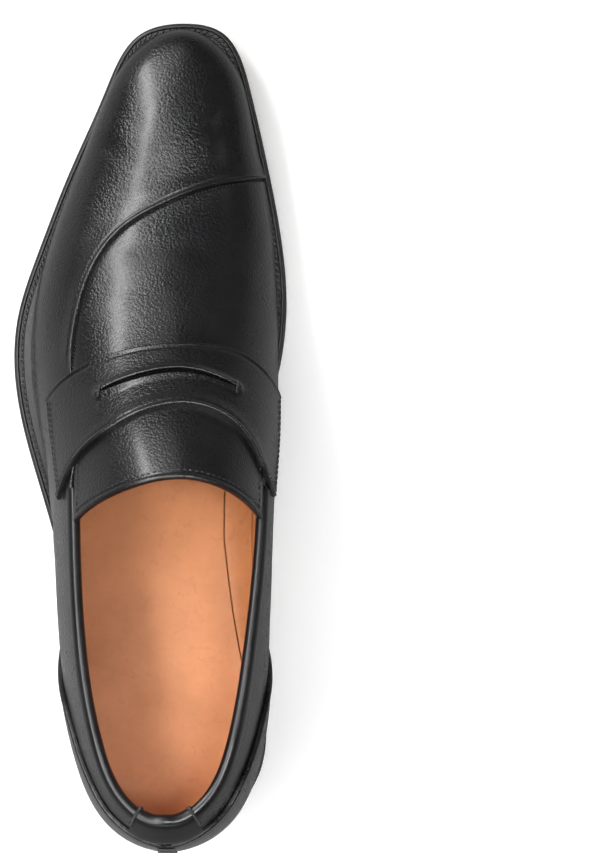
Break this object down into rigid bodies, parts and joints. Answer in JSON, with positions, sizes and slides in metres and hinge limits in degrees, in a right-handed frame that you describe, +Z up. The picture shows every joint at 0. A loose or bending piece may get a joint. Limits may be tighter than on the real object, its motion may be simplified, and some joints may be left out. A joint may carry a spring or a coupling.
{
  "type": "penny loafer shoe",
  "caption": "Left penny loafer in black leather with a saddle strap and slot, tan lining, stitched welt and stacked heel.",
  "frame": {"origin": "middle of the shoe's footprint, on the ground under the heel top piece", "axes": "+Z up, +Y towards the toe, +X towards the inner side of the foot"},
  "size_m": [0.101, 0.3024, 0.0939],
  "materials": {
    "black_leather": "polished, fine grain",
    "black_edge": "satin, fine lengthwise lines",
    "tan_leather": "matt lining leather",
    "sole_leather": "waxed",
    "board_leather": "raw",
    "cork": "ground cork",
    "rubber": "matt",
    "thread": "waxed thread",
    "steel": "plain",
    "brass": "plain"
  },
  "bodies": {
    "shoe": {"toe_outer_quarter": "black_leather", "vamp_inner_quarter": "black_leather", "saddle_strap": "black_leather", "counter_foxing": "black_leather", "topline_binding_outer": "black_leather", "topline_binding_inner": "black_leather", "heel_tab": "black_leather", "back_strip": "black_leather", "vamp_lining": "tan_leather", "quarter_lining": "tan_leather", "sock_liner": "tan_leather", "toe_puff": "board_leather", "heel_counter": "board_leather", "vamp_interlining": "board_leather", "insole": "board_leather", "insole_rib": "board_leather", "welt": "black_edge", "heel_rand": "black_edge", "heel_lift_1": "black_edge", "heel_lift_2": "black_edge", "heel_lift_3": "black_edge", "heel_lift_4": "black_edge", "outsole": "sole_leather", "cork_filler": "cork", "heel_top_piece": "rubber", "slot_tack_1": "thread", "slot_tack_2": "thread", "tab_tack_1": "thread", "tab_tack_2": "thread", "welt_stitch": "thread", "shank": "steel", "heel_nail_1": "steel", "heel_nail_2": "steel", "heel_nail_3": "steel", "heel_nail_4": "steel", "heel_nail_5": "steel", "top_piece_nail_1": "brass", "top_piece_nail_2": "brass", "top_piece_nail_3": "brass", "top_piece_nail_4": "brass", "top_piece_nail_5": "brass", "top_piece_nail_6": "brass"},
    "tongue": {"tongue": "black_leather", "tongue_lining": "tan_leather"}
  },
  "joints": [
    {"name": "tongue_lift", "type": "hinge", "parent": "shoe", "child": "tongue", "pos_m": [0.0119, 0.0096, 0.0769], "axis": [-1, 0, 0], "range_deg": [0, 20], "stiffness_Nm_per_rad": 0.15}
  ]
}
